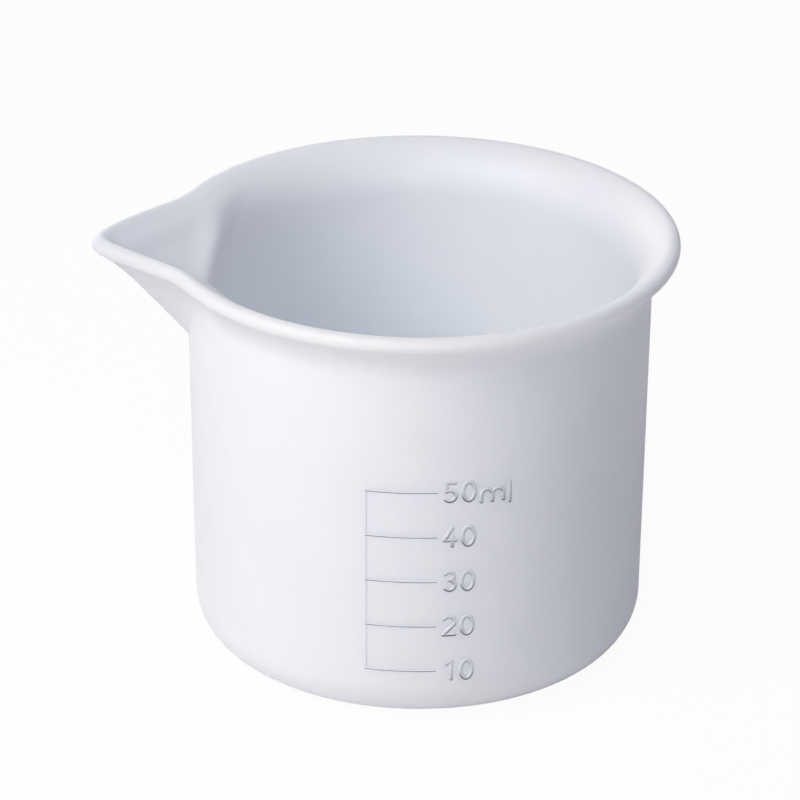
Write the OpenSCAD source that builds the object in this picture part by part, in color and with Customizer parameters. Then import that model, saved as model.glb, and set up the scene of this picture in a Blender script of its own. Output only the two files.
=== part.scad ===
// Mixing cup for casting resin, moulded in one go from soft silicone.
// It has a thin floor, a lightly tapered wall, a lip that flares out and a V-shaped spout,
// and a raised scale in millilitres on its front.
// It stands on the XY plane with its axis on Z. The spout points along -X, the scale faces -Y.

/* [Cup] */
// Height from the table to the top of the lip
cup_h = 49; // [44:0.5:70]
// Outer radius of the wall where the foot curve ends
wall_r_low = 25.6; // [23:0.1:34]
// Outer radius of the wall just under the lip
wall_r_high = 26.15; // [24:0.05:36]
// Thickness of the wall at the foot
wall_t = 1.9; // [1.2:0.1:3]
// Thickness of the floor
floor_t = 1.2; // [0.8:0.1:3]
// Radius of the curve from the base into the wall, outside
foot_r = 5.5; // [2:0.1:9]
// Radius of the curve from the floor into the wall, inside
floor_curve_r = 3.6; // [1:0.1:8]

/* [Lip] */
// Thickness of the lip, and of the wall just under it
lip_t = 1.8; // [1.2:0.1:2.6]
// Radius of the bend that turns the wall outwards, on its outer side
flare_r = 4.7; // [2:0.1:7]
// Lean of the lip from upright where the bend ends
flare_angle = 63; // [20:1:80]

/* [Spout] */
// Distance from the cup's axis to the tip of the spout
spout_reach = 36.75; // [33:0.25:44]
// Angle between one side of the spout and its middle plane, seen from above
spout_half_angle = 44.2; // [36:0.2:52]
// Rise of the spout's keel above level
spout_keel_angle = 48.2; // [42:0.2:60]
// Radius of the tip, seen from above
spout_tip_r = 2.2; // [0.6:0.1:4]
// Width over which the spout's sides melt into the round wall
spout_blend = 2.7; // [0.5:0.1:4]
// Width over which the foot of its keel melts into the wall
keel_blend = 0.4; // [0.3:0.1:4]
// Thickness of the spout's wall and of its lip
spout_t = 1.7; // [1.4:0.1:3]
// Share of the lip's flare that runs on along the spout
spout_flare = 0.35; // [0:0.05:1]
// How far the tip lies below the top of the lip
spout_dip = 0.4; // [0:0.1:2]

/* [Inside of the spout] */
// Depth of the shallow facet in the inside of each side of the spout
facet_depth = 0.6; // [0:0.05:0.8]
// Distance below the top of the lip where the facet begins
facet_drop = 1.6; // [1:0.1:4]
// Width of the facet's soft upper edge
facet_edge = 2.4; // [1:0.1:4]
// Width of its soft edge towards the round wall
facet_side = 1.2; // [0.6:0.1:3]
// Angle from the spout's middle plane over which the facet gets its full depth
facet_turn = 5; // [2:0.5:15]
// Height of the soft rib where a side of the spout meets the round wall inside
rib_h = 0.95; // [0:0.05:1.4]
// How far the rib's crest stands back from the corner, towards the round wall
rib_shift = 0.25; // [0:0.05:0.5]
// Width of the rib's fall towards the spout
rib_width = 1.1; // [0.6:0.1:2]
// Width of its fall towards the round wall
rib_fall = 2.3; // [1:0.1:5]
// Distance below the top of the lip where the rib has its full height
rib_start = 1.8; // [1:0.1:4]

/* [Scale] */
// Number of marked levels
mark_count = 5; // [1:1:6]
// Volume between two marked levels, in millilitres
mark_step = 10; // [5:5:10]
// Angle from the front of the cup to the upright line of the scale
scale_turn = -14; // [-60:1:40]
// Length of a level line along the wall
line_len = 7.9; // [3:0.1:12]
// Width of the scale's lines
line_w = 0.3; // [0.2:0.05:0.8]
// Height of the scale's lines above the wall
line_raise = 0.18; // [0.1:0.02:0.5]

/* [Numbers] */
// Height of a number
number_h = 2.7; // [1.6:0.1:4.5]
// Width of a digit
digit_w = 1.75; // [1.2:0.05:3]
// Width of the strokes that form the numbers
stroke_w = 0.46; // [0.25:0.01:0.8]
// Space between two digits
digit_gap = 0.28; // [0.15:0.01:0.8]
// Space between a level line and its number
number_gap = 0.55; // [0.3:0.05:2]
// How far a number's line has bowed down ten millimetres after its first digit
number_bow = 1.6; // [0:0.1:2]
// Height of a number above the wall at its upper edge
number_raise_top = 0.16; // [0.1:0.02:0.4]
// Height of a number above the wall at its lower edge
number_raise_low = 0.34; // [0.1:0.02:0.6]

/* [Hidden] */
silicone = [0.92, 0.93, 0.96];
relief = [0.8, 0.82, 0.86];
$fn = 96;

// Lip section: an outward bend, then a full round edge
lip_round = lip_t/2;
bend_mid_r = flare_r + lip_round;
flare_z = cup_h - lip_round - bend_mid_r*sin(flare_angle);
lip_out = flare_r - bend_mid_r*cos(flare_angle);
lip_r = wall_r_high + lip_out + lip_round;

// The wall tapers evenly between its foot and the lip, outside and inside
wall_inner_low = wall_r_low - wall_t;
wall_inner_high = wall_r_high - lip_t;
floor_curve_z = floor_t + floor_curve_r;
floor_flat_r = wall_inner_low - floor_curve_r;
outer_slope = (wall_r_high - wall_r_low)/(flare_z - foot_r);
inner_slope = (wall_inner_high - wall_inner_low)/(flare_z - floor_curve_z);
function outer_r(z) = wall_r_low + outer_slope*(z - foot_r);
function inner_r(z) = wall_inner_low + inner_slope*(z - floor_curve_z);

// The height that a volume fills the cup to, in millimetres from the table.
// The floor curve holds a part of it, and the rest stands in the tapered wall.
floor_curve_volume = PI*(pow(floor_flat_r, 2)*floor_curve_r
    + PI*floor_flat_r*pow(floor_curve_r, 2)/2 + 2*pow(floor_curve_r, 3)/3);
function cube_root(v) = sign(v)*pow(abs(v), 1/3);
function fill_z(volume) =
    let (rest = volume - floor_curve_volume,
         low = wall_inner_low,
         top = cube_root(pow(low, 3) + 3*inner_slope*rest/PI))
    floor_curve_z + 3*rest/(PI*(low*low + low*top + top*top));
function mark_z(i) = fill_z(1000*mark_step*i);

// The keel of the spout is a straight line in the middle plane
keel_run = 1/tan(spout_keel_angle);
side_lean = sqrt(1 + pow(sin(spout_half_angle)*keel_run, 2));
// Height where the spout begins to swell out of the wall, a little below its keel's foot
swell_z = max(foot_r + 1, floor_curve_z + 1,
    cup_h - (spout_reach - wall_r_low + keel_blend)/keel_run - 1);

// Steps of the moulding's skin: round the cup, along each curve, and up the wall by the spout
round_steps = 46;
foot_steps = 6;
wall_steps = 8;
bend_steps = 6;
lip_steps = 8;
// Steps round the cup lie closer together towards the spout
crowding = 1.35;

// The section of the moulding as rows, from the base up the outside, over the lip and down
// the inside to the floor. A row is its height, its radius on the round side, how far the
// lip's flare has carried it out, and its depth below the outer skin.
foot_rows = [for (i = [0:foot_steps - 1])
    let (a = 90*i/foot_steps)
    [foot_r*(1 - cos(a)), wall_r_low - foot_r*(1 - sin(a)), 0, 0]];
function wall_z(i) = swell_z + (flare_z - swell_z)*i/wall_steps;
outer_rows = [for (z = [foot_r, for (i = [0:wall_steps - 1]) wall_z(i)]) [z, outer_r(z), 0, 0]];
outer_bend = [for (i = [0:bend_steps - 1])
    let (a = flare_angle*i/bend_steps, out = flare_r*(1 - cos(a)))
    [flare_z + flare_r*sin(a), wall_r_high + out, out, 0]];
lip_rows = [for (i = [0:lip_steps])
    let (a = 180*i/lip_steps,
         out = lip_out + lip_round*cos(a - flare_angle),
         depth = lip_round*(1 - cos(a)))
    [cup_h - lip_round + lip_round*sin(a - flare_angle), wall_r_high + out, out + depth, depth]];
inner_bend = [for (i = [bend_steps - 1:-1:0])
    let (a = flare_angle*i/bend_steps, out = flare_r - (flare_r + lip_t)*cos(a))
    [flare_z + (flare_r + lip_t)*sin(a), wall_r_high + out, out + lip_t, lip_t]];
inner_rows = [for (z = [for (i = [wall_steps - 1:-1:0]) wall_z(i), floor_curve_z])
    [z, inner_r(z), 0, outer_r(z) - inner_r(z)]];
floor_rows = [for (i = [foot_steps - 1:-1:0])
    let (a = 90*i/foot_steps)
    [floor_curve_z - floor_curve_r*cos(a), floor_flat_r + floor_curve_r*sin(a), 0, wall_t]];
rows = concat(foot_rows, outer_rows, outer_bend, lip_rows, inner_bend, inner_rows, floor_rows);

// The larger of two lengths, with a soft change from one to the other
function soft_max(a, b, width) =
    let (h = max(width - abs(a - b), 0)/width) max(a, b) + width*pow(h, 3)/6;

// Radius of the spout's side at an angle from its middle plane, where the keel is keel_r out.
// Past the foot of the side's perpendicular it falls away, behind the round wall.
tip_round = spout_tip_r/tan(spout_half_angle)/spout_reach*180/PI;
function soft_angle(a) = sqrt(a*a + tip_round*tip_round) - tip_round;
function side_sine(a) = sin(spout_half_angle + soft_angle(a));
function before_foot(a) = spout_half_angle + soft_angle(a) < 90;
function side_r(keel_r, a) =
    keel_r*sin(spout_half_angle)*(before_foot(a) ? 1/side_sine(a) : side_sine(a));
// How far a row moves out along the spout: its share of the flare, less its depth
spout_thickening = spout_t/lip_t;
function side_shift(row, a) =
    spout_flare*row[2] - row[3]*spout_thickening*side_lean/(before_foot(a) ? side_sine(a) : 1);
function row_reach(row) = (row[0] - cup_h)*keel_run + side_shift(row, 0);
keel_top_r = spout_reach - max([for (row = rows) row_reach(row)]);

// One point of the skin, on a row and at an angle from the spout
function spout_r(row, a) = side_r(keel_top_r + (row[0] - cup_h)*keel_run, a) + side_shift(row, a);
function blend_at(a) = keel_blend + (spout_blend - keel_blend)*min(a/spout_half_angle, 1);
function ease(x) = let (h = min(max(x, 0), 1)) h*h*(3 - 2*h);
function inside(row) = row[3]/wall_t;
// The facet is sunk into the inside of the spout's side, and has soft edges
function facet_at(row, a) =
    ease((cup_h - row[0] - facet_drop)/facet_edge)*ease(a/facet_turn)
        *ease((spout_r(row, a) - row[1])/facet_side)*inside(row);
// The rib follows the corner between the round wall and the spout's side, on the inside alone
function rib_at(row, a) =
    let (beyond = spout_r(row, a) - row[1] + rib_shift,
         across = beyond > 0 ? beyond/rib_width : beyond/rib_fall)
    pow(max(1 - across*across, 0), 2)*ease(a/spout_half_angle)
        *ease((cup_h - row[0])/rib_start)*inside(row);
function skin_r(row, a) =
    soft_max(row[1], spout_r(row, a) + facet_depth*facet_at(row, a), blend_at(a))
        - rib_h*rib_at(row, a);
function dip(z, r) = spout_dip*pow(max(r - lip_r, 0)/(spout_reach - lip_r), 2)*z/cup_h;
function skin_point(row, a) =
    let (r = skin_r(row, abs(a))) [-r*cos(a), -r*sin(a), row[0] - dip(row[0], r)];
function around(i) = sign(i)*180*pow(abs(i)/round_steps, crowding);

// The whole moulding: its rows of skin, closed by the base below and the floor inside
module cup() {
    turns = [for (i = [-round_steps:round_steps - 1]) around(i)];
    nt = len(turns);
    nr = len(rows);
    function at(i, j) = (i % nt)*nr + j;
    points = [for (a = turns) for (row = rows) skin_point(row, a)];
    skin = [for (i = [0:nt - 1]) for (j = [0:nr - 2])
        for (face = i < nt/2
            ? [[at(i, j), at(i, j + 1), at(i + 1, j + 1)], [at(i, j), at(i + 1, j + 1), at(i + 1, j)]]
            : [[at(i, j), at(i, j + 1), at(i + 1, j)], [at(i + 1, j), at(i, j + 1), at(i + 1, j + 1)]])
        face];
    base = [for (i = [0:nt - 1]) at(i, 0)];
    floor_face = [for (i = [nt - 1:-1:0]) at(i, nr - 1)];
    color(silicone) polyhedron(points, concat(skin, [base, floor_face]));
}

// A strip of wall from z0 to z1 that stands out by raise0 at its foot and raise1 at its top
module wall_strip(z0, z1, raise0, raise1) {
    polygon([[outer_r(z0), z0], [outer_r(z0) + raise0, z0],
        [outer_r(z1) + raise1, z1], [outer_r(z1), z1]]);
}

// Angle that a length along the wall covers
function wall_angle(length) = length/wall_r_low*180/PI;
front = -90;

// The upright line and one level line for each mark, standing out of the wall
module scale_lines() {
    color(relief) rotate([0, 0, front + scale_turn]) {
        rotate_extrude(angle = wall_angle(line_w))
            wall_strip(mark_z(1) - line_w/2, mark_z(mark_count) + line_w/2, line_raise, line_raise);
        for (i = [1:mark_count])
            rotate_extrude(angle = wall_angle(line_len))
                wall_strip(mark_z(i) - line_w/2, mark_z(i) + line_w/2, line_raise, line_raise);
    }
}

// Strokes of the numbers, drawn flat with round ends
half_w = (digit_w - stroke_w)/2;
half_h = (number_h - stroke_w)/2;

module dot(p) {
    translate(p) circle(stroke_w/2);
}

module bar(p, q) {
    run = q - p;
    dot(p);
    dot(q);
    translate(p) rotate(atan2(run[1], run[0])) translate([0, -stroke_w/2]) square([norm(run), stroke_w]);
}

// A bow of radius r round c, from angle a0 to angle a1, less than half a turn
module bow(c, r, a0, a1) {
    reach = 2*r + stroke_w;
    mid = (a0 + a1)/2;
    translate(c) intersection() {
        difference() {
            circle(r + stroke_w/2);
            circle(r - stroke_w/2);
        }
        polygon([[0, 0], for (a = [a0, mid, a1]) reach*[cos(a), sin(a)]]);
    }
    dot(c + r*[cos(a0), sin(a0)]);
    dot(c + r*[cos(a1), sin(a1)]);
}

module glyph_0() {
    straight = half_h - half_w;
    for (side = [-1, 1]) {
        bow([0, straight], half_w, 90, 90 - side*90);
        bow([0, -straight], half_w, -90, -90 + side*90);
        bar([side*half_w, -straight], [side*half_w, straight]);
    }
}

module glyph_1() {
    bar([half_w/2, -half_h], [half_w/2, half_h]);
    bar([half_w/2, half_h], [-0.9*half_w, 0.72*half_h]);
}

module glyph_2() {
    top = half_h - half_w;
    turn_in = 35;
    bow([0, top], half_w, 150, 60);
    bow([0, top], half_w, 60, -turn_in);
    bar([half_w*cos(turn_in), top - half_w*sin(turn_in)], [-half_w, -half_h]);
    bar([-half_w, -half_h], [half_w, -half_h]);
}

module glyph_3() {
    low_r = 0.54*half_h;
    top_r = half_h - low_r;
    bow([0, half_h - top_r], top_r, 150, 60);
    bow([0, half_h - top_r], top_r, 60, -90);
    bow([0, low_r - half_h], low_r, 90, -30);
    bow([0, low_r - half_h], low_r, -30, -150);
}

module glyph_4() {
    stem_x = 0.4*half_w;
    bar_y = -0.4*half_h;
    bar([stem_x, half_h], [-half_w, bar_y]);
    bar([-half_w, bar_y], [half_w, bar_y]);
    bar([stem_x, 0], [stem_x, -half_h]);
}

module glyph_5() {
    bowl_r = 0.58*half_h;
    bowl = [-0.1*half_w, bowl_r - half_h];
    bar([0.8*half_w, half_h], [-0.7*half_w, half_h]);
    bar([-0.7*half_w, half_h], bowl + bowl_r*[cos(125), sin(125)]);
    bow(bowl, bowl_r, 125, 0);
    bow(bowl, bowl_r, 0, -145);
}

module glyph_6() {
    straight = half_h - half_w;
    bow([0, -straight], half_w, 90, -90);
    bow([0, -straight], half_w, 90, 270);
    bar([-half_w, -straight], [-half_w, straight]);
    bow([0, straight], half_w, 180, 60);
}

// The unit: a small m with two arches, then a plain l
unit_h = 0.7*number_h;
arch_r = 0.36*digit_w;

module glyph_m() {
    arch_y = -half_h + unit_h - stroke_w - arch_r;
    for (side = [-1, 1]) {
        bow([side*arch_r, arch_y], arch_r, 90, 0);
        bow([side*arch_r, arch_y], arch_r, 90, 180);
    }
    for (x = [-2, 0, 2]) bar([x*arch_r, -half_h], [x*arch_r, arch_y]);
}

module glyph_l() {
    bar([0, -half_h], [0, half_h]);
}

module glyph(key) {
    if (key == "0") glyph_0();
    if (key == "1") glyph_1();
    if (key == "2") glyph_2();
    if (key == "3") glyph_3();
    if (key == "4") glyph_4();
    if (key == "5") glyph_5();
    if (key == "6") glyph_6();
    if (key == "m") glyph_m();
    if (key == "l") glyph_l();
}

function glyph_width(key) = key == "m" ? 4*arch_r + stroke_w : key == "l" ? stroke_w : digit_w;
// Distance along the wall from a word's start to the middle of its glyph number k
function glyph_start(word, k) = k == 0 ? 0 : glyph_start(word, k - 1) + glyph_width(word[k - 1]) + digit_gap;
function glyph_middle(word, k) = glyph_start(word, k) + glyph_width(word[k])/2;

// The raised strip that a number is cut from is a little taller than the number
strip_margin = 0.3;

// One glyph, cut straight through a raised strip of the wall at its own angle
module wall_glyph(key, z, turn) {
    depth = wall_r_high;
    intersection() {
        rotate_extrude() wall_strip(z - number_h/2 - strip_margin, z + number_h/2 + strip_margin,
            number_raise_low, number_raise_top);
        rotate([0, 0, turn]) translate([0, 0, z]) rotate([90, 0, 0])
            linear_extrude(2*depth) glyph(key);
    }
}

module scale_numbers() {
    start = line_len + number_gap;
    color(relief) for (i = [1:mark_count]) {
        word = str(mark_step*i, i == mark_count ? "ml" : "");
        for (k = [0:len(word) - 1]) {
            run = glyph_middle(word, k);
            past_first = (run - glyph_middle(word, 0))/10;
            wall_glyph(word[k], mark_z(i) - number_bow*pow(past_first, 2),
                scale_turn + wall_angle(start + run));
        }
    }
}

cup();
scale_lines();
scale_numbers();
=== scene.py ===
"""The looks of a soft silicone mixing cup: its skin with the spout drawn out of it, its raised
scale, and the pale floor, soft light and camera that show it."""

import logging
import math
from collections.abc import Sequence
from dataclasses import dataclass
from enum import Enum
from typing import NamedTuple

import bpy
from mathutils import Matrix, Vector

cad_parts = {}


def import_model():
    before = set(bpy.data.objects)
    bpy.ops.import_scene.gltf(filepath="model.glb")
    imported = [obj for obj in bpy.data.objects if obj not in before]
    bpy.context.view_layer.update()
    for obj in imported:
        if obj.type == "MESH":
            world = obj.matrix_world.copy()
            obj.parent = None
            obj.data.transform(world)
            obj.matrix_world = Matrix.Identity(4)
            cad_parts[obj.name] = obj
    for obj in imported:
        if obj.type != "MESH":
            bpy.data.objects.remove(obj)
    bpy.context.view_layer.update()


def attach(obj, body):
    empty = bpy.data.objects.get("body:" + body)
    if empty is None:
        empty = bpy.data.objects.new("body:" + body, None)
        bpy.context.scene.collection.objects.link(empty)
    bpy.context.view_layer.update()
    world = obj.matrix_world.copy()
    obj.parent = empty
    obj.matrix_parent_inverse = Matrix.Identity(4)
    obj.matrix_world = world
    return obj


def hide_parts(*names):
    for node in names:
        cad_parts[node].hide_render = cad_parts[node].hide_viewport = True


MM = 0.001
WHITE = (1.0, 1.0, 1.0, 1.0)
# Sides of a bead's round section, the step along a stroke in millimetres, and the angles in
# degrees at which a stroke's round end is drawn
BEAD_SIDES = 14
STROKE_STEP = 0.08
END_TURNS = (30, 52, 70, 82, 89)
log = logging.getLogger("mixing_cup")

Colour = tuple[float, float, float]


class Slot(Enum):
    """The material slots of the part."""

    SILICONE = "silicone"
    RELIEF = "silicone_relief"


class Term:
    """A number in a node tree, which sums can be written with as if it were a Python number."""

    def __init__(self, tree: bpy.types.NodeTree, socket: bpy.types.NodeSocket) -> None:
        """Holds one output socket.

        Args:
            tree: The tree that new nodes go into.
            socket: The output that carries the number.
        """
        self.tree = tree
        self.socket = socket

    def step(self, operation: str, *others: "Term | float") -> "Term":
        """Adds one math node that works on this number and others.

        Args:
            operation: The name of the node's operation.
            others: Its second and third numbers.

        Returns:
            The result.
        """
        node = self.tree.nodes.new("ShaderNodeMath")
        node.operation = operation
        for place, value in enumerate((self, *others)):
            feed(self.tree, node.inputs[place], value)
        return Term(self.tree, node.outputs[0])

    def __add__(self, other: "Term | float") -> "Term":
        """This number plus another."""
        return self.step("ADD", other)

    def __sub__(self, other: "Term | float") -> "Term":
        """This number less another."""
        return self.step("SUBTRACT", other)

    def __mul__(self, other: "Term | float") -> "Term":
        """This number times another."""
        return self.step("MULTIPLY", other)

    def __truediv__(self, other: "Term | float") -> "Term":
        """This number over another."""
        return self.step("DIVIDE", other)

    def __pow__(self, other: "Term | float") -> "Term":
        """This number to a power."""
        return self.step("POWER", other)

    def larger(self, other: "Term | float") -> "Term":
        """The larger of this number and another."""
        return self.step("MAXIMUM", other)

    def smaller(self, other: "Term | float") -> "Term":
        """The smaller of this number and another."""
        return self.step("MINIMUM", other)

    def eased(self) -> "Term":
        """This number held between nought and one, with a soft start and end."""
        held = self.larger(0.0).smaller(1.0)
        return held * held * (held * -2.0 + 3.0)

    def size(self) -> "Term":
        """This number without its sign."""
        return self.step("ABSOLUTE")

    def sine(self) -> "Term":
        """The sine of this angle."""
        return self.step("SINE")

    def cosine(self) -> "Term":
        """The cosine of this angle."""
        return self.step("COSINE")

    def root(self) -> "Term":
        """The square root of this number."""
        return self.step("SQRT")


def feed(tree: bpy.types.NodeTree, socket: bpy.types.NodeSocket, value: Term | float) -> None:
    """Gives an input socket a linked number or a plain one.

    Args:
        tree: The tree that holds the socket.
        socket: The input.
        value: What it gets.
    """
    if isinstance(value, Term):
        tree.links.new(value.socket, socket)
    else:
        socket.default_value = value


def soft_larger(first: Term, second: Term, width: Term) -> Term:
    """The larger of two lengths, with a soft change from one to the other.

    Args:
        first: One length.
        second: The other length.
        width: How far apart they may be for the change to show.

    Returns:
        The softened length.
    """
    near = (width - (first - second).size()).larger(0.0) / width
    return first.larger(second) + width * near**3.0 / 6.0


class ShapeTree:
    """A geometry tree that ends in Realize Instances and Set Material, with named size inputs."""

    def __init__(self, name: str, sizes: dict[str, float]) -> None:
        """Starts the tree with its geometry input and one input for each size.

        Args:
            name: The tree's name.
            sizes: The value of each named input.
        """
        self.tree = bpy.data.node_groups.new(name, "GeometryNodeTree")
        self.sizes = sizes
        self.tree.interface.new_socket("Geometry", in_out="INPUT", socket_type="NodeSocketGeometry")
        for size in sizes:
            self.tree.interface.new_socket(size, in_out="INPUT", socket_type="NodeSocketFloat")
        self.tree.interface.new_socket(
            "Geometry", in_out="OUTPUT", socket_type="NodeSocketGeometry"
        )
        self.start = self.tree.nodes.new("NodeGroupInput")
        self.kept: set[str] = set()

    def number(self, name: str) -> Term:
        """The size that comes in under a name."""
        return Term(self.tree, self.start.outputs[name])

    def held(self, name: str) -> Term:
        """The value of a named attribute at each point.

        Args:
            name: The attribute's name.

        Returns:
            The value.
        """
        node = self.tree.nodes.new("GeometryNodeInputNamedAttribute")
        node.data_type = "FLOAT"
        node.inputs["Name"].default_value = name
        return Term(self.tree, node.outputs["Attribute"])

    def store(
        self, shape: bpy.types.NodeSocket, name: str, value: Term, keep: bool = False
    ) -> bpy.types.NodeSocket:
        """Writes a named attribute on each point.

        Args:
            shape: The geometry.
            name: The attribute's name.
            value: Its value.
            keep: Whether the finished mesh keeps it for its material.

        Returns:
            The geometry with the attribute.
        """
        node = self.tree.nodes.new("GeometryNodeStoreNamedAttribute")
        node.data_type = "FLOAT"
        node.inputs["Name"].default_value = name
        self.tree.links.new(shape, node.inputs["Geometry"])
        feed(self.tree, node.inputs["Value"], value)
        if keep:
            self.kept.add(name)
        return node.outputs[0]

    def place(self) -> list[Term]:
        """The three coordinates of each point."""
        position = self.tree.nodes.new("GeometryNodeInputPosition")
        parts = self.tree.nodes.new("ShaderNodeSeparateXYZ")
        self.tree.links.new(position.outputs[0], parts.inputs[0])
        return [Term(self.tree, out) for out in parts.outputs]

    def vector(self, parts: Sequence[Term | float]) -> bpy.types.NodeSocket:
        """Joins three numbers.

        Args:
            parts: The coordinates.

        Returns:
            The vector's socket.
        """
        node = self.tree.nodes.new("ShaderNodeCombineXYZ")
        for socket, part in zip(node.inputs, parts):
            feed(self.tree, socket, part)
        return node.outputs[0]

    def move(
        self, shape: bpy.types.NodeSocket, parts: Sequence[Term | float]
    ) -> bpy.types.NodeSocket:
        """Moves each point to a new place.

        Args:
            shape: The geometry.
            parts: The new coordinates.

        Returns:
            The moved geometry.
        """
        node = self.tree.nodes.new("GeometryNodeSetPosition")
        self.tree.links.new(shape, node.inputs["Geometry"])
        self.tree.links.new(self.vector(parts), node.inputs["Position"])
        return node.outputs[0]

    def close(self, shape: bpy.types.NodeSocket, material: bpy.types.Material) -> None:
        """Ends the tree.

        Args:
            shape: The finished geometry.
            material: The material that it gets.
        """
        whole = self.tree.nodes.new("GeometryNodeRealizeInstances")
        dress = self.tree.nodes.new("GeometryNodeSetMaterial")
        dress.inputs["Material"].default_value = material
        end = self.tree.nodes.new("NodeGroupOutput")
        self.tree.links.new(shape, whole.inputs[0])
        self.tree.links.new(whole.outputs[0], dress.inputs["Geometry"])
        self.tree.links.new(dress.outputs[0], end.inputs[0])

    def run_on(self, piece: bpy.types.Object) -> None:
        """Runs the tree on a piece once and leaves the result as its plain mesh.

        Args:
            piece: The piece whose mesh the tree reshapes.
        """
        modifier = piece.modifiers.new(self.tree.name, "NODES")
        modifier.node_group = self.tree
        for item in self.tree.interface.items_tree:
            if item.in_out == "INPUT" and item.name in self.sizes:
                modifier[item.identifier] = self.sizes[item.name]
        depsgraph = bpy.context.evaluated_depsgraph_get()
        made = bpy.data.meshes.new_from_object(piece.evaluated_get(depsgraph), depsgraph=depsgraph)
        piece.modifiers.clear()
        piece.data = made
        for attribute in [a.name for a in made.attributes if a.data_type == "FLOAT"]:
            if attribute not in self.kept:
                made.attributes.remove(made.attributes[attribute])


class Row(NamedTuple):
    """One ring of the moulding's section, in millimetres."""

    z: float
    radius: float
    flare: float
    depth: float


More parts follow.
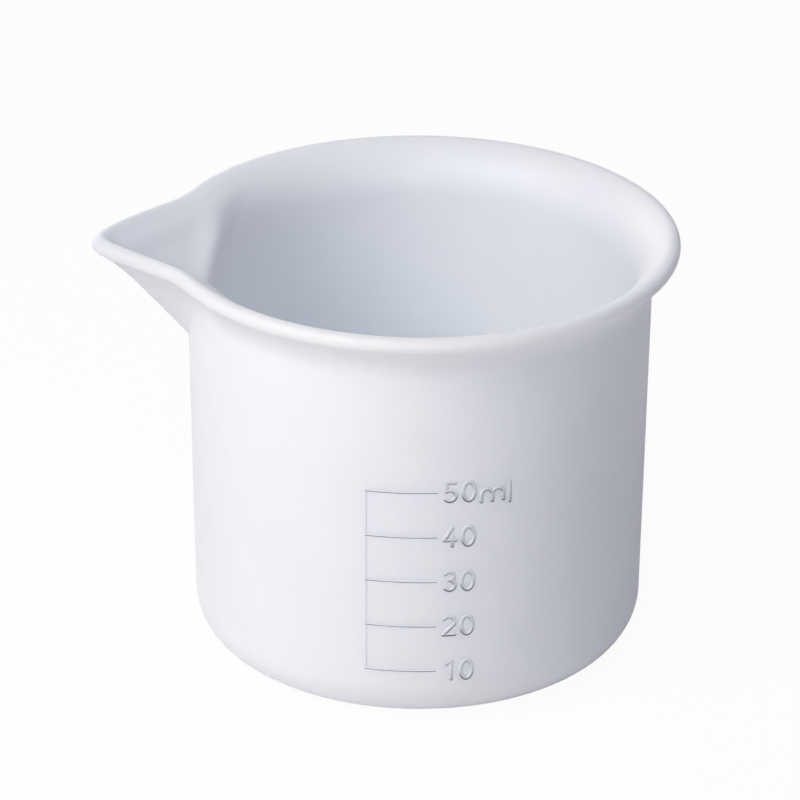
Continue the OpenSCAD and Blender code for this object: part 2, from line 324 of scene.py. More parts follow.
@dataclass
class Cup:
    """The whole moulding: floor, tapered wall, flared lip and V-shaped spout, in millimetres."""

    height: float = 49.0
    wall_low: float = 25.6
    wall_high: float = 26.15
    wall_thick: float = 1.9
    floor_thick: float = 1.2
    foot_round: float = 5.5
    floor_round: float = 3.6
    lip_thick: float = 1.8
    bend_round: float = 4.7
    bend_angle: float = math.radians(63.0)
    reach: float = 36.75
    half_angle: float = math.radians(44.2)
    keel_angle: float = math.radians(48.2)
    tip_round: float = 2.2
    side_blend: float = 2.7
    keel_blend: float = 0.4
    spout_thick: float = 1.7
    rib: float = 0.95
    rib_shift: float = 0.25
    rib_width: float = 1.1
    rib_fall: float = 2.3
    rib_start: float = 1.8
    facet: float = 0.6
    facet_drop: float = 1.6
    facet_edge: float = 2.4
    facet_side: float = 1.2
    facet_turn: float = math.radians(5.0)
    spout_flare: float = 0.35
    spout_dip: float = 0.4
    # The next five sizes place painted shade: darker over the spout's outside and the lip's outer
    # edge there, and a warm painted shade on the lip's outer edge along the front left
    free_edge: float = 0.6
    spout_shade_turn: float = 1.2
    lip_shade_turn: float = math.radians(68.0)
    lip_shade_start: float = 0.55
    lip_shade_soft: float = 0.4
    turns: int = 150
    crowding: float = 1.35
    foot_steps: int = 14
    low_steps: int = 16
    wall_steps: int = 40
    bend_steps: int = 16
    lip_steps: int = 28
    floor_steps: int = 12

    def __post_init__(self) -> None:
        """Works out the sizes that follow from the others."""
        self.edge = self.lip_thick / 2
        middle = self.bend_round + self.edge
        self.bend_z = self.height - self.edge - middle * math.sin(self.bend_angle)
        self.lip_out = self.bend_round - middle * math.cos(self.bend_angle)
        self.lip_radius = self.wall_high + self.lip_out + self.edge
        self.inner_low = self.wall_low - self.wall_thick
        self.floor_top = self.floor_thick + self.floor_round
        self.floor_flat = self.inner_low - self.floor_round
        self.keel_run = 1 / math.tan(self.keel_angle)
        self.lean = math.sqrt(1 + (math.sin(self.half_angle) * self.keel_run) ** 2)
        self.tip_turn = self.tip_round / math.tan(self.half_angle) / self.reach

    def outer(self, z: float) -> float:
        """Radius of the round wall's outside at a height."""
        slope = (self.wall_high - self.wall_low) / (self.bend_z - self.foot_round)
        return self.wall_low + slope * (z - self.foot_round)

    def inner(self, z: float) -> float:
        """Radius of the round wall's inside at a height."""
        high = self.wall_high - self.lip_thick
        slope = (high - self.inner_low) / (self.bend_z - self.floor_top)
        return self.inner_low + slope * (z - self.floor_top)

    def level(self, volume: float) -> float:
        """The height that a volume in cubic millimetres fills the cup to."""
        curve = math.pi * (
            self.floor_flat**2 * self.floor_round
            + math.pi * self.floor_flat * self.floor_round**2 / 2
            + 2 * self.floor_round**3 / 3
        )
        z = self.floor_top
        for _ in range(4):
            middle = self.inner((self.floor_top + z) / 2)
            z = self.floor_top + (volume - curve) / (math.pi * middle**2)
        return z

    def section(self) -> list[Row]:
        """The moulding's section from the middle of the base, over the lip, to the floor's.

        Returns:
            Its rows.
        """
        keel_foot = self.height - (self.reach - self.wall_low + self.keel_blend) / self.keel_run
        swell = keel_foot - 1
        walls = [swell + up for up in spread(self.bend_z - swell, self.wall_steps)[:-1]]
        rise = spread(swell - self.foot_round, self.low_steps)[:-1]
        low = [self.foot_round + up for up in rise]
        base = self.wall_low - self.foot_round
        rows = [Row(0, base * share, 0, 0) for share in (0.05, 0.3, 0.6, 0.85, 0.97)]
        for a in spread(math.pi / 2, self.foot_steps)[:-1]:
            round_in = self.foot_round * (1 - math.sin(a))
            rows.append(Row(self.foot_round * (1 - math.cos(a)), self.wall_low - round_in, 0, 0))
        rows += [Row(z, self.outer(z), 0, 0) for z in low + walls]
        bend = spread(self.bend_angle, self.bend_steps)[:-1]
        for a in bend:
            out = self.bend_round * (1 - math.cos(a))
            z = self.bend_z + self.bend_round * math.sin(a)
            rows.append(Row(z, self.wall_high + out, out, 0))
        for a in spread(math.pi, self.lip_steps):
            out = self.lip_out + self.edge * math.cos(a - self.bend_angle)
            depth = self.edge * (1 - math.cos(a))
            z = self.height - self.edge + self.edge * math.sin(a - self.bend_angle)
            rows.append(Row(z, self.wall_high + out, out + depth, depth))
        thick = self.lip_thick
        for a in reversed(bend):
            out = self.bend_round - (self.bend_round + thick) * math.cos(a)
            z = self.bend_z + (self.bend_round + thick) * math.sin(a)
            rows.append(Row(z, self.wall_high + out, out + thick, thick))
        for z in [*reversed(walls), *reversed(low)]:
            if z > self.floor_top:
                rows.append(Row(z, self.inner(z), 0, self.outer(z) - self.inner(z)))
        for a in reversed(spread(math.pi / 2, self.floor_steps)):
            z = self.floor_top - self.floor_round * math.cos(a)
            radius = self.floor_flat + self.floor_round * math.sin(a)
            rows.append(Row(z, radius, 0, self.wall_thick))
        for share in (0.97, 0.8, 0.5, 0.05):
            rows.append(Row(self.floor_thick, self.floor_flat * share, 0, self.wall_thick))
        return rows

    def keel_top(self) -> float:
        """How far out the keel's straight line lies at the height of the rim."""
        thick = self.spout_thick / self.lip_thick * self.lean / math.sin(self.half_angle)
        return self.reach - max(
            (row.z - self.height) * self.keel_run + self.spout_flare * row.flare - row.depth * thick
            for row in self.section()
        )

    def lathe(self) -> bpy.types.Object:
        """Turns the section round the axis, and stores what the spout tree needs at each point.

        Returns:
            The round cup, without a spout.
        """
        rows = self.section()
        steps = range(-self.turns, self.turns)
        angles = [
            math.copysign(math.pi * (abs(i) / self.turns) ** self.crowding, i) for i in steps
        ]
        count, high = len(angles), len(rows)
        points = [
            (-row.radius * math.cos(a) * MM, -row.radius * math.sin(a) * MM, row.z * MM)
            for a in angles
            for row in rows
        ]
        faces = [
            (i * high + j, i * high + j + 1, k * high + j + 1, k * high + j)
            for i in range(count)
            for k in [(i + 1) % count]
            for j in range(high - 1)
        ]
        faces.append(tuple(i * high for i in range(count)))
        faces.append(tuple(i * high + high - 1 for i in reversed(range(count))))
        mesh = bpy.data.meshes.new("cup_skin")
        mesh.from_pydata(points, [], faces)
        stored = {
            "turn": [a for a in angles for _ in rows],
            "round": [row.radius * MM for _ in angles for row in rows],
            "flare": [row.flare * MM for _ in angles for row in rows],
            "depth": [row.depth * MM for _ in angles for row in rows],
        }
        for name, values in stored.items():
            mesh.attributes.new(name, "FLOAT", "POINT").data.foreach_set("value", values)
        mesh.shade_smooth()
        return show(mesh)

    def spout_tree(self, material: bpy.types.Material) -> ShapeTree:
        """Draws the spout out of the round wall: each point goes out to the wedge's side where
        that lies further out, with a soft change, a soft rib and a shallow facet inside, and
        the tip dips a little. Each point also keeps two painted shade masks for the material: a
        darker tone over the spout's outside and the lip's outer edge there, and a warm shade on
        the lip's outer edge along the front left.

        Args:
            material: The cup's material.

        Returns:
            The tree.
        """
        shape = ShapeTree(
            "Spout",
            {
                "Rim Height": self.height * MM,
                "Lip Radius": self.lip_radius * MM,
                "Reach": self.reach * MM,
                "Keel Top": self.keel_top() * MM,
                "Keel Run": self.keel_run,
                "Half Angle": self.half_angle,
                "Tip Turn": self.tip_turn,
                "Side Lean": self.lean,
                "Thickening": self.spout_thick / self.lip_thick,
                "Flare Share": self.spout_flare,
                "Full Depth": self.wall_thick * MM,
                "Rib": self.rib * MM,
                "Rib Shift": self.rib_shift * MM,
                "Rib Width": self.rib_width * MM,
                "Rib Fall": self.rib_fall * MM,
                "Rib Start": self.rib_start * MM,
                "Facet": self.facet * MM,
                "Facet Drop": self.facet_drop * MM,
                "Facet Edge": self.facet_edge * MM,
                "Facet Side": self.facet_side * MM,
                "Facet Turn": self.facet_turn,
                "Wall Radius": self.wall_high * MM,
                "Lip Turn Out": self.lip_out * MM,
                "Free Edge": self.free_edge,
                "Spout Shade Turn": self.spout_shade_turn,
                "Lip Shade Turn": self.lip_shade_turn,
                "Lip Shade Start": self.lip_shade_start,
                "Lip Shade Soft": self.lip_shade_soft,
                "Side Blend": self.side_blend * MM,
                "Keel Blend": self.keel_blend * MM,
                "Tip Dip": self.spout_dip * MM,
            },
        )
        size = shape.number
        z = shape.place()[2]
        turn = shape.held("turn")
        away = turn.size()
        soft = (away * away + size("Tip Turn") ** 2.0).root() - size("Tip Turn")
        seen = size("Half Angle") + soft
        before = seen.step("LESS_THAN", math.pi / 2)
        over = seen.sine() ** (before * -1.0)
        under = seen.sine() ** (before * -1.0 + 1.0)
        keel = size("Keel Top") + (z - size("Rim Height")) * size("Keel Run")
        side = keel * size("Half Angle").sine() * over * under
        thick = shape.held("depth") * size("Thickening") * size("Side Lean") * over
        side = side + size("Flare Share") * shape.held("flare") - thick
        near = (away / size("Half Angle")).smaller(1.0)
        blend = size("Keel Blend") + (size("Side Blend") - size("Keel Blend")) * near
        inside = shape.held("depth") / size("Full Depth")
        drop = size("Rim Height") - z
        facet = ((drop - size("Facet Drop")) / size("Facet Edge")).eased()
        facet = facet * ((side - shape.held("round")) / size("Facet Side")).eased()
        facet = facet * (away / size("Facet Turn")).eased() * inside
        beyond = side - shape.held("round") + size("Rib Shift")
        across = beyond.larger(0.0) / size("Rib Width") + beyond.smaller(0.0) / size("Rib Fall")
        rib = (across * across * -1.0 + 1.0).larger(0.0) ** 2.0 * inside * near.eased()
        rib = rib * (drop / size("Rib Start")).eased()
        side = side + size("Facet") * facet
        radius = soft_larger(shape.held("round"), side, blend) - size("Rib") * rib
        past = (radius - size("Lip Radius")).larger(0.0) / (size("Reach") - size("Lip Radius"))
        dip = size("Tip Dip") * past**2.0 * z / size("Rim Height")
        moved = shape.move(
            shape.start.outputs["Geometry"],
            [radius * turn.cosine() * -1.0, radius * turn.sine() * -1.0, z - dip],
        )
        # Painted shade: the spout's outside and the lip's outer edge there are darkened, more so
        # further out towards the tip
        spout_shade = (radius - size("Wall Radius")) / (size("Reach") - size("Wall Radius"))
        edge = (shape.held("flare") / size("Lip Turn Out") - size("Free Edge")).eased()
        spout_shade = spout_shade.larger(0.0).root() * (inside * -1.0 + 1.0).larger(edge)
        spout_shade = spout_shade * (size("Spout Shade Turn") - away).larger(0.0).smaller(1.0)
        moved = shape.store(moved, "painted_shade", spout_shade, keep=True)
        # A warm painted shade on the lip's outer edge along the front left
        facing = (turn - size("Lip Shade Turn")).cosine() - size("Lip Shade Start")
        lip_shade = edge * (facing / size("Lip Shade Soft")).eased()
        moved = shape.store(moved, "lip", lip_shade, keep=True)
        shape.close(moved, material)
        return shape

    def build(self, material: bpy.types.Material) -> bpy.types.Object:
        """Makes the cup's skin and lets it stand for the plain solid.

        Args:
            material: The cup's material.

        Returns:
            The piece.
        """
        skin = self.lathe()
        self.spout_tree(material).run_on(skin)
        skin.data.materials.clear()
        skin.data.materials.append(material)
        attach(skin, "root")
        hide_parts("cup")
        return skin


class Bead(ShapeTree):
    """A tree that lays strokes as low rounded beads on the cup's wall. The strokes are drawn flat:
    x runs along the wall, y is the height, and z comes out of the wall."""

    def __init__(self, name: str, cup: Cup, start: float, width: float, **sizes: float) -> None:
        """Starts the tree.

        Args:
            name: The tree's name.
            cup: The cup whose wall carries the beads.
            start: The angle round the axis where x is nought.
            width: The width of a bead, in millimetres.
            sizes: More named inputs.
        """
        slope = (cup.wall_high - cup.wall_low) / (cup.bend_z - cup.foot_round)
        wall = {
            "Start Angle": start,
            "Wall Radius": cup.wall_low * MM,
            "Wall Slope": slope,
            "Foot Height": cup.foot_round * MM,
            "Bead Width": width * MM,
            "Sunk": 0.05 * MM,
            "Full Lift": 0.13 * MM,
            # Foot Shade and the four Shade sizes set painted shade over each bead's lower side and
            # along its foot
            "Foot Shade": 0.1,
            "Shade Level": 0.6,
            "Shade Climb": 0.6,
            "Shade Slope": 2.2,
            "Shade Curve": 1.5,
        }
        super().__init__(name, wall | sizes)

    def lay(
        self, curves: bpy.types.NodeSocket, share: Term | float, lift: Term
    ) -> bpy.types.NodeSocket:
        """Sweeps a round section along flat curves and bends the result round the wall. The
        curves hold the height of their own middle, from which the painted shade over each bead's
        lower side is found.

        Args:
            curves: The flat curves.
            share: The share of the full width at each point.
            lift: How far the bead stands out at each point.

        Returns:
            The beads on the wall.
        """
        half = self.number("Bead Width") * 0.5
        ring = self.tree.nodes.new("GeometryNodeCurvePrimitiveCircle")
        ring.inputs["Resolution"].default_value = BEAD_SIDES
        feed(self.tree, ring.inputs["Radius"], half)
        sweep = self.tree.nodes.new("GeometryNodeCurveToMesh")
        sweep.inputs["Fill Caps"].default_value = True
        self.tree.links.new(curves, sweep.inputs["Curve"])
        self.tree.links.new(ring.outputs["Curve"], sweep.inputs["Profile Curve"])
        feed(self.tree, sweep.inputs["Scale"], share)
        along, height, out = self.place()
        out = out / half
        rise = lift / self.number("Full Lift")
        # Painted shade: darker over each bead's lower side, more so on taller beads, and a little
        # along its foot on both sides
        climb = (rise - self.number("Shade Level")) * self.number("Shade Climb")
        below = (self.held("middle") - height) / half + climb
        under = (below.larger(0.0) * self.number("Shade Slope")).smaller(1.0)
        under = under ** self.number("Shade Curve") * rise
        foot = (out.larger(0.0) * -1.0 + 1.0) ** 2.0
        painted_shade = under.larger(foot * self.number("Foot Shade"))
        bead = self.store(sweep.outputs[0], "painted_shade", painted_shade, keep=True)
        raised = lift * out.larger(0.0) + self.number("Sunk") * out.smaller(0.0)
        wall = self.number("Wall Slope") * (height - self.number("Foot Height"))
        radius = self.number("Wall Radius") + wall + raised
        angle = self.number("Start Angle") + along / self.number("Wall Radius")
        return self.move(bead, [radius * angle.cosine(), radius * angle.sine(), height])


class Point(NamedTuple):
    """A place on the unrolled wall: along it and up, in millimetres."""

    x: float
    y: float


@dataclass
class Scale:
    """The raised scale: an upright line, a level line for each mark, and the marks' numbers."""

    cup: Cup
    marks: int = 5
    step: int = 10
    turn: float = math.radians(-14.0)
    level_points: int = 60
    upright_points: int = 120
    line_length: float = 7.9
    line_width: float = 0.25
    level_lift: float = 0.13
    upright_lift: float = 0.05
    number_height: float = 2.7
    digit_width: float = 1.75
    stroke: float = 0.46
    digit_gap: float = 0.28
    number_gap: float = 0.55
    number_sink: float = 0.016
    lift_top: float = 0.07
    lift_low: float = 0.13

    def __post_init__(self) -> None:
        """Works out the sizes that follow from the others."""
        self.levels = [self.cup.level(1000.0 * self.step * (i + 1)) for i in range(self.marks)]
        self.start = self.turn - math.pi / 2
        self.half_w = (self.digit_width - self.stroke) / 2
        self.half_h = (self.number_height - self.stroke) / 2
        self.arch = 0.36 * self.digit_width

    def lines(self, material: bpy.types.Material) -> bpy.types.Object:
        """Makes the lines: one level line on each mark's point, and the upright line.

        Args:
            material: The raised silicone.

        Returns:
            The piece.
        """
        mesh = bpy.data.meshes.new("ruled_lines")
        mesh.from_pydata([(0, z * MM, 0) for z in self.levels], [], [])
        piece = show(mesh)
        shape = Bead(
            "Ruled Lines", self.cup, self.start, self.line_width,
            **{
                "Line Length": self.line_length * MM,
                "Level Lift": self.level_lift * MM,
                "Upright Lift": self.upright_lift * MM,
                "First Level": self.levels[0] * MM,
                "Last Level": self.levels[-1] * MM,
            },
        )
        half = self.line_width / 2 * MM
        reach = shape.number("Line Length")
        level = self.straight(shape, [0.0, 0.0], [reach, 0.0], self.level_points)
        place = shape.tree.nodes.new("GeometryNodeInstanceOnPoints")
        whole = shape.tree.nodes.new("GeometryNodeRealizeInstances")
        both = shape.tree.nodes.new("GeometryNodeJoinGeometry")
        shape.tree.links.new(shape.start.outputs["Geometry"], place.inputs["Points"])
        raised = shape.store(level, "lift", shape.number("Level Lift"))
        shape.tree.links.new(raised, place.inputs["Instance"])
        shape.tree.links.new(place.outputs[0], whole.inputs[0])
        ends = [shape.number("First Level") - half, shape.number("Last Level") + half]
        upright = self.straight(shape, [half, ends[0]], [half, ends[1]], self.upright_points)
        upright = shape.store(upright, "lift", shape.number("Upright Lift"))
        for part in (whole.outputs[0], upright):
            shape.tree.links.new(part, both.inputs[0])
        drawn = shape.store(both.outputs[0], "middle", shape.place()[1])
        shape.close(shape.lay(drawn, 1.0, shape.held("lift")), material)
        return self.finish(piece, shape, material, "scale_lines")

    def straight(
        self,
        shape: ShapeTree,
        start: Sequence[Term | float],
        end: Sequence[Term | float],
        count: int,
    ) -> bpy.types.NodeSocket:
        """Adds a straight curve.

        Args:
            shape: The tree.
            start: Its start on the unrolled wall.
            end: Its end.
            count: The number of points along it.

        Returns:
            The curve.
        """
        line = shape.tree.nodes.new("GeometryNodeCurvePrimitiveLine")
        for name, spot in (("Start", start), ("End", end)):
            shape.tree.links.new(shape.vector([*spot, 0.0]), line.inputs[name])
        fine = shape.tree.nodes.new("GeometryNodeResampleCurve")
        fine.inputs["Count"].default_value = count
        shape.tree.links.new(line.outputs[0], fine.inputs["Curve"])
        return fine.outputs[0]

    def glyphs(self) -> dict[str, list[list[Point]]]:
        """The strokes of each digit and letter, round its own middle.

        Returns:
            Smooth runs of points for each glyph.
        """
        w, h, r = self.half_w, self.half_h, self.arch
        low = 0.54 * h
        bowl = 0.58 * h
        unit_height = 0.7 * self.number_height
        arch_y = -h + unit_height - self.stroke - r
        bowl_x, bowl_y = -0.1 * w, bowl - h
        back = bow(bowl_x, bowl_y, bowl, 125, 125)[0]
        return {
            "0": [[Point(w * math.cos(a), h * math.sin(a)) for a in spread(2 * math.pi, 48)]],
            "1": [
                [Point(w / 2, -h), Point(w / 2, h)],
                [Point(w / 2, h), Point(-0.32 * w, 0.69 * h)],
            ],
            "2": [[*bow(0, h - w, w, 150, -35), Point(-w, -h)], [Point(-w, -h), Point(w, -h)]],
            "3": [bow(0, low, h - low, 150, -90), bow(0, low - h, low, 90, -150)],
            "4": [
                [Point(0.4 * w, h), Point(-w, -0.4 * h)],
                [Point(-w, -0.4 * h), Point(w, -0.4 * h)],
                [Point(0.4 * w, 0), Point(0.4 * w, -h)],
            ],
            "5": [
                [Point(0.8 * w, h), Point(-0.7 * w, h)],
                [Point(-0.7 * w, h), back],
                bow(bowl_x, bowl_y, bowl, 125, -145),
            ],
            "m": [
                [Point(-2 * r, -h), *bow(-r, arch_y, r, 180, 0), Point(0, -h)],
                [*bow(r, arch_y, r, 180, 0), Point(2 * r, -h)],
            ],
            "l": [[Point(0, -h), Point(0, h)]],
        }

    def numbers(self, material: bpy.types.Material) -> bpy.types.Object:
        """Makes the marks' numbers from their strokes.

        Args:
            material: The raised silicone.

        Returns:
            The piece.
        """
        widths = {"m": 4 * self.arch + self.stroke, "l": self.stroke}
        glyphs = self.glyphs()
        points: list[tuple[float, float, float]] = []
        edges: list[tuple[int, int]] = []
        shares: list[float] = []
        lifts: list[float] = []
        middles: list[float] = []
        for i, z in enumerate(self.levels):
            word = str(self.step * (i + 1)) + ("ml" if i == self.marks - 1 else "")
            x = self.line_length + self.number_gap
            first_middle = x + self.digit_width / 2
            for key in word:
                wide = widths.get(key, self.digit_width)
                low = z - self.number_sink * (x + wide / 2 - first_middle) ** 2
                for run in glyphs[key]:
                    fine = round_ended(run, self.stroke / 2)
                    first = len(points)
                    edges += [(first + k, first + k + 1) for k in range(len(fine) - 1)]
                    ends = run[0].y, run[-1].y
                    for spot, share in fine:
                        points.append(((x + wide / 2 + spot.x) * MM, (low + spot.y) * MM, 0))
                        shares.append(share)
                        near = min(ends, key=lambda y: abs(y - spot.y))
                        middles.append((low + (spot.y if share == 1.0 else near)) * MM)
                        rise = 0.5 + spot.y / self.number_height
                        lifts.append((self.lift_low + (self.lift_top - self.lift_low) * rise) * MM)
                x += wide + self.digit_gap
        mesh = bpy.data.meshes.new("raised_numbers")
        mesh.from_pydata(points, edges, [])
        for name, values in (("share", shares), ("lift", lifts), ("middle", middles)):
            mesh.attributes.new(name, "FLOAT", "POINT").data.foreach_set("value", values)
        piece = show(mesh)
        shape = Bead("Raised Numbers", self.cup, self.start, self.stroke)
        curves = shape.tree.nodes.new("GeometryNodeMeshToCurve")
        shape.tree.links.new(shape.start.outputs["Geometry"], curves.inputs["Mesh"])
        laid = shape.lay(curves.outputs[0], shape.held("share"), shape.held("lift"))
        shape.close(laid, material)
        return self.finish(piece, shape, material, "scale_numbers")

    def finish(
        self, piece: bpy.types.Object, shape: ShapeTree, material: bpy.types.Material, node: str
    ) -> bpy.types.Object:
        """Turns a piece into its plain mesh and lets it stand for its solid. It casts no shadow,
        because it is one moulding with the wall, whose light it would otherwise keep out.

        Args:
            piece: The piece.
            shape: The tree that makes it.
            material: Its material.
            node: The solid's name.

        Returns:
            The piece.
        """
        shape.run_on(piece)
        piece.data.materials.clear()
        piece.data.materials.append(material)
        piece.data.shade_smooth()
        # The painted shade over each bead's lower side stands in for the shadow that it would cast
        piece.visible_shadow = False
        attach(piece, "root")
        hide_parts(node)
        return piece


def bow(x: float, y: float, radius: float, start: float, end: float) -> list[Point]:
    """Points along a circle's arc.

    Args:
        x: The circle's middle.
        y: The circle's middle.
        radius: Its radius.
        start: The first angle, in degrees.
        end: The last angle.

    Returns:
        The points.
    """
    angles = [math.radians(start + (end - start) * i / 16) for i in range(17)]
    return [Point(x + radius * math.cos(a), y + radius * math.sin(a)) for a in angles]


def round_ended(run: list[Point], half: float) -> list[tuple[Point, float]]:
    """Steps evenly along a stroke and on past its ends, where its width closes in a half circle.

    Args:
        run: The stroke's points.
        half: Half its width.

    Returns:
        Each point with its share of the full width.
    """
    lengths = [math.dist(a, b) for a, b in zip(run, run[1:])]
    closed = math.dist(run[0], run[-1]) < 1e-6
    whole = sum(lengths)
    count = max(round(whole / STROKE_STEP), 2)
    fine: list[tuple[Point, float]] = []
    for i in range(count + 1):
        left = whole * i / count
        k = 0
        while k < len(lengths) - 1 and left > lengths[k]:
            left -= lengths[k]
            k += 1
        a, b = run[k], run[k + 1]
        part = left / lengths[k]
        fine.append((Point(a.x + (b.x - a.x) * part, a.y + (b.y - a.y) * part), 1.0))
    if closed:
        return fine
    for place, a, b in ((0, run[1], run[0]), (len(fine), run[-2], run[-1])):
        size = math.dist(a, b)
        caps = []
        for turn in END_TURNS:
            past = half * math.sin(math.radians(turn)) / size
            spot = Point(b.x + (b.x - a.x) * past, b.y + (b.y - a.y) * past)
            caps.append((spot, math.cos(math.radians(turn))))
        fine[place:place] = caps if place else caps[::-1]
    return fine


def spread(whole: float, steps: int) -> list[float]:
    """Evenly spread values from nought to a whole.

    Args:
        whole: The last value.
        steps: The number of steps.

    Returns:
        One value more than there are steps.
    """
    return [whole * i / steps for i in range(steps + 1)]


def show(mesh: bpy.types.Mesh) -> bpy.types.Object:
    """Puts a mesh into the scene under its own name.

    Args:
        mesh: The mesh.

    Returns:
        Its object.
    """
    piece = bpy.data.objects.new(mesh.name, mesh)
    bpy.context.scene.collection.objects.link(piece)
    return piece


class Input(NamedTuple):
    """One input of a shader group."""

    name: str
    kind: str
    value: float | tuple[float, ...]


def frosted_surface() -> bpy.types.NodeTree:
    """Makes the group that every silicone finish shares: a faint clouding of tone and sheen, the
    fine grain that a blasted mould leaves, and painted shade: over the lower side and foot of each
    raised bead, over the spout, and a warm painted shade on the lip's front edge.

    Returns:
        The group. It puts out a colour, a roughness and a height.
    """
    group = bpy.data.node_groups.new("Frosted Surface", "ShaderNodeTree")
    for item in (
        Input("Colour", "NodeSocketColor", WHITE),
        Input("Painted Shade Colour", "NodeSocketColor", WHITE),
        Input("Painted Lip Shade", "NodeSocketColor", WHITE),
        Input("Cloud Size", "NodeSocketFloat", 8 * MM),
        Input("Cloud Depth", "NodeSocketFloat", 0.03),
        Input("Grain Size", "NodeSocketFloat", 0.2 * MM),
        Input("Roughness", "NodeSocketFloat", 0.5),
        Input("Roughness Spread", "NodeSocketFloat", 0.1),
    ):
        socket = group.interface.new_socket(item.name, in_out="INPUT", socket_type=item.kind)
        socket.default_value = item.value
    for name, kind in (
        ("Colour", "NodeSocketColor"),
        ("Roughness", "NodeSocketFloat"),
        ("Height", "NodeSocketFloat"),
    ):
        group.interface.new_socket(name, in_out="OUTPUT", socket_type=kind)
    start = group.nodes.new("NodeGroupInput")
    end = group.nodes.new("NodeGroupOutput")
    place = group.nodes.new("ShaderNodeTexCoord")

    def given(name: str) -> Term:
        """The number that comes in under a name."""
        return Term(group, start.outputs[name])

    def noise(size: Term, detail: float) -> Term:
        """A noise from nought to one, with blotches of a size."""
        node = group.nodes.new("ShaderNodeTexNoise")
        node.inputs["Detail"].default_value = detail
        group.links.new(place.outputs["Object"], node.inputs["Vector"])
        feed(group, node.inputs["Scale"], size**-1.0)
        return Term(group, node.outputs[0])

    cloud = noise(given("Cloud Size"), 4.0)
    sheen = noise(given("Cloud Size") * 0.4, 3.0)
    grain = noise(given("Grain Size"), 2.0)
    colour = start.outputs["Colour"]
    # Painted shade: two stored masks mix in darker colours, a warm one on the lip's front edge and
    # one under the raised beads and over the spout
    for attribute, other in (("lip", "Painted Lip Shade"), ("painted_shade", "Painted Shade Colour")):
        share = group.nodes.new("ShaderNodeAttribute")
        share.attribute_name = attribute
        mixed = group.nodes.new("ShaderNodeMix")
        mixed.data_type = "RGBA"
        group.links.new(share.outputs["Fac"], mixed.inputs[0])
        group.links.new(colour, mixed.inputs[6])
        group.links.new(start.outputs[other], mixed.inputs[7])
        colour = mixed.outputs[2]
    tone = (cloud - 0.5) * given("Cloud Depth") * 2.0 + 1.0
    clouded = group.nodes.new("ShaderNodeVectorMath")
    clouded.operation = "SCALE"
    group.links.new(colour, clouded.inputs[0])
    feed(group, clouded.inputs["Scale"], tone)
    rough = given("Roughness") + (sheen - 0.5) * given("Roughness Spread") * 2.0
    for name, socket in (
        ("Colour", clouded.outputs[0]),
        ("Roughness", rough.socket),
        ("Height", grain.socket),
    ):
        group.links.new(socket, end.inputs[name])
    return group


@dataclass(frozen=True)
class Silicone:
    """Frosted translucent silicone: light goes into it and comes out again nearby."""

    name: str
    colour: Colour
    # The two colours after the main one are painted shade, laid on by stored masks
    lip: Colour
    painted_shade: Colour
    scatter: float
    cloud_depth: float
    roughness: float = 0.45
    roughness_spread: float = 0.12
    cloud_size: float = 9 * MM
    grain_size: float = 0.16 * MM
    grain_depth: float = 0.004 * MM
    ior: float = 1.41

    def material(self, group: bpy.types.NodeTree) -> bpy.types.Material:
        """Builds the material.

        Args:
            group: The surface detail that every silicone finish shares.

        Returns:
            The material.
        """
        material = bpy.data.materials.new(self.name)
        material.use_nodes = True
        tree = material.node_tree
        detail = tree.nodes.new("ShaderNodeGroup")
        detail.node_tree = group
        for name, value in (
            ("Colour", (*self.colour, 1.0)),
            ("Painted Lip Shade", (*self.lip, 1.0)),
            ("Painted Shade Colour", (*self.painted_shade, 1.0)),
            ("Cloud Size", self.cloud_size),
            ("Cloud Depth", self.cloud_depth),
            ("Grain Size", self.grain_size),
            ("Roughness", self.roughness),
            ("Roughness Spread", self.roughness_spread),
        ):
            detail.inputs[name].default_value = value
        grain = tree.nodes.new("ShaderNodeBump")
        grain.inputs["Distance"].default_value = self.grain_depth
        shader = tree.nodes["Principled BSDF"]
        shader.inputs["IOR"].default_value = self.ior
        shader.inputs["Subsurface Weight"].default_value = 1.0
        shader.inputs["Subsurface Radius"].default_value = (1.0, 1.0, 1.0)
        shader.inputs["Subsurface Scale"].default_value = self.scatter
        tree.links.new(detail.outputs["Height"], grain.inputs["Height"])
        tree.links.new(detail.outputs["Colour"], shader.inputs["Base Color"])
        tree.links.new(detail.outputs["Roughness"], shader.inputs["Roughness"])
        tree.links.new(grain.outputs[0], shader.inputs["Normal"])
        return material


# The skin's painted shade colours darken the spout and give the lip's front edge a warm shade; the
# raised silicone's darkens each bead's lower side
SKIN = Silicone(
    "frosted silicone",
    colour=(0.86, 0.89, 0.93),
    lip=(0.85, 0.87, 0.855),
    painted_shade=(0.7, 0.725, 0.76),
    scatter=3 * MM,
    cloud_depth=0.03,
)
RAISED = Silicone(
    "raised silicone",
    colour=(0.77, 0.79, 0.84),
    lip=(0.77, 0.79, 0.84),
    painted_shade=(0.1, 0.1, 0.14),
    scatter=0.02 * MM,
    cloud_depth=0.02,
)


@dataclass(frozen=True)
class Softbox:
    """One soft lamp, placed by where it is seen from the cup."""

    name: str
    azimuth: float
    elevation: float
    power: float
    tint: Colour
    distance: float = 0.6
    width: float = 0.36
    aim: float = 25 * MM

    def build(self) -> bpy.types.Object:
        """Makes the lamp and turns it to the cup.

        Returns:
            The lamp.
        """
        data = bpy.data.lights.new(self.name, "AREA")
        data.shape = "SQUARE"
        data.size = self.width
        data.energy = self.power
        data.color = self.tint
        lamp = bpy.data.objects.new(self.name, data)
        a, e = math.radians(self.azimuth), math.radians(self.elevation)
        away = Vector((math.sin(a) * math.cos(e), -math.cos(a) * math.cos(e), math.sin(e)))
        lamp.location = Vector((0, 0, self.aim)) + away * self.distance
        lamp.rotation_mode = "QUATERNION"
        lamp.rotation_quaternion = away.to_track_quat("Z", "Y")
        bpy.context.scene.collection.objects.link(lamp)
        return lamp


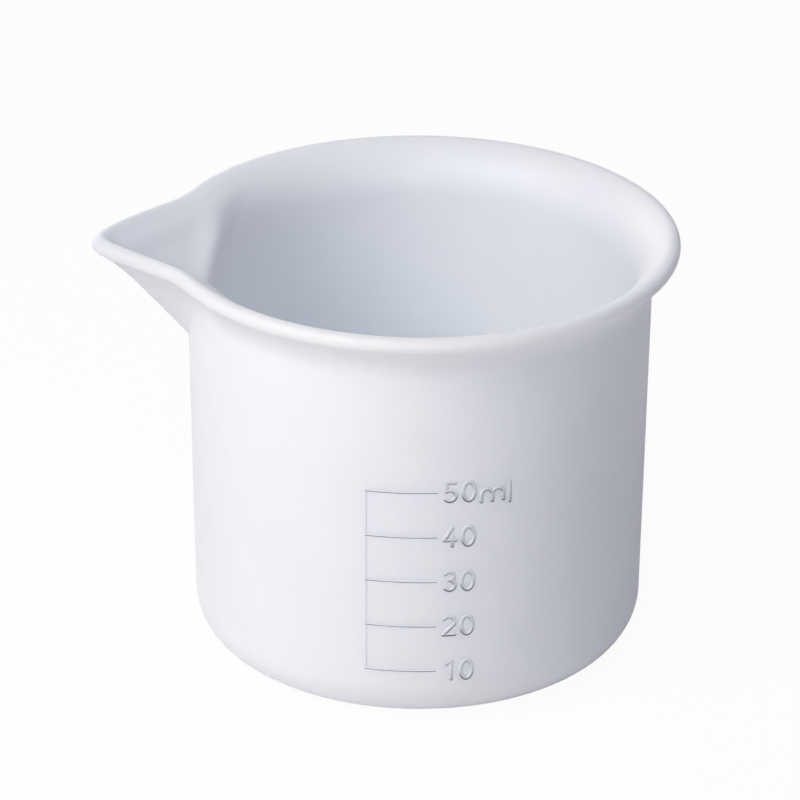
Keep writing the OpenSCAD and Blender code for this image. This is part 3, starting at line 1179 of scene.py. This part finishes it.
@dataclass
class Studio:
    """The floor, the light and the camera."""

    lamps: tuple[Softbox, ...] = (
        Softbox("key from the left", -50, 42, 2.25, (1.0, 0.98, 0.97)),
        Softbox("front fill", 0, 42, 0.49, (0.57, 0.84, 1.0)),
        Softbox("low front", -30, 12, 0.59, (1.0, 0.78, 0.65)),
        Softbox("back right", 150, 42, 0.53, (0.86, 0.94, 1.0)),
        Softbox("back left", -150, 12, 0.83, (0.9, 1.0, 0.98)),
    )
    ambient: Colour = (0.148, 0.122, 0.157)
    floor_half: float = 2.0
    floor_grey: float = 0.9
    floor_white: float = 0.95
    lens: float = 228.6
    distance: float = 0.58
    camera_aim: float = 24.5 * MM
    camera_turn: float = math.radians(-1.0)
    camera_rise: float = math.radians(25.75)
    camera_roll: float = math.radians(0.458)
    shift: tuple[float, float] = (-0.0233, 0.0369)

    def floor(self) -> bpy.types.Object:
        """Makes the pale floor, which shows white and keeps the cup's shadow.

        Returns:
            The floor.
        """
        far = self.floor_half
        mesh = bpy.data.meshes.new("floor")
        mesh.from_pydata(
            [(-far, -far, 0), (far, -far, 0), (far, far, 0), (-far, far, 0)], [], [(0, 1, 2, 3)]
        )
        material = bpy.data.materials.new("pale floor")
        material.use_nodes = True
        tree = material.node_tree
        matt = tree.nodes["Principled BSDF"]
        matt.inputs["Base Color"].default_value = (*[self.floor_grey] * 3, 1.0)
        matt.inputs["Roughness"].default_value = 1.0
        matt.inputs["Specular IOR Level"].default_value = 0.0
        glow = tree.nodes.new("ShaderNodeEmission")
        glow.inputs["Strength"].default_value = 1.0
        path = tree.nodes.new("ShaderNodeLightPath")
        mix = tree.nodes.new("ShaderNodeMixShader")
        share = Term(tree, path.outputs["Is Camera Ray"]) * self.floor_white
        tree.links.new(share.socket, mix.inputs[0])
        tree.links.new(matt.outputs[0], mix.inputs[1])
        tree.links.new(glow.outputs[0], mix.inputs[2])
        tree.links.new(mix.outputs[0], tree.nodes["Material Output"].inputs["Surface"])
        mesh.materials.append(material)
        floor = show(mesh)
        return floor

    def air(self) -> None:
        """Sets the even light all round, which the camera sees as white."""
        world = bpy.data.worlds.new("studio")
        bpy.context.scene.world = world
        world.use_nodes = True
        tree = world.node_tree
        light = tree.nodes["Background"]
        light.inputs["Color"].default_value = (*self.ambient, 1.0)
        white = tree.nodes.new("ShaderNodeBackground")
        white.inputs["Color"].default_value = WHITE
        path = tree.nodes.new("ShaderNodeLightPath")
        seen = (
            Term(tree, path.outputs["Is Camera Ray"])
            .larger(Term(tree, path.outputs["Is Glossy Ray"]))
            .larger(Term(tree, path.outputs["Is Transmission Ray"]))
        )
        mix = tree.nodes.new("ShaderNodeMixShader")
        tree.links.new(seen.socket, mix.inputs[0])
        tree.links.new(light.outputs[0], mix.inputs[1])
        tree.links.new(white.outputs[0], mix.inputs[2])
        tree.links.new(mix.outputs[0], tree.nodes["World Output"].inputs["Surface"])

    def camera(self) -> None:
        """Sets the camera where the photograph was taken from."""
        data = bpy.data.cameras.new("camera")
        data.lens = self.lens
        data.shift_x, data.shift_y = self.shift
        camera = bpy.data.objects.new("camera", data)
        turned = Matrix.Rotation(self.camera_turn, 4, "Z")
        raised = Matrix.Rotation(math.pi / 2 - self.camera_rise, 4, "X")
        rolled = Matrix.Rotation(self.camera_roll, 4, "Z")
        away = Matrix.Translation((0, 0, self.distance))
        middle = Matrix.Translation((0, 0, self.camera_aim))
        camera.matrix_world = middle @ turned @ raised @ rolled @ away
        bpy.context.scene.collection.objects.link(camera)
        bpy.context.scene.camera = camera

    def build(self) -> None:
        """Sets everything up round the cup."""
        self.floor()
        self.air()
        for lamp in self.lamps:
            lamp.build()
        self.camera()
        bpy.context.scene.view_settings.view_transform = "Standard"


def main() -> None:
    """Builds the cup, its scale and the studio in order."""
    logging.basicConfig(level=logging.INFO, format="%(name)s: %(message)s")
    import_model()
    surface = frosted_surface()
    cup = Cup()
    skin = cup.build(SKIN.material(surface))
    log.info("%s: %d faces", skin.name, len(skin.data.polygons))
    raised = RAISED.material(surface)
    scale = Scale(cup)
    for piece in (scale.lines(raised), scale.numbers(raised)):
        log.info("%s: %d faces", piece.name, len(piece.data.polygons))
    Studio().build()


if __name__ == "__main__":
    main()
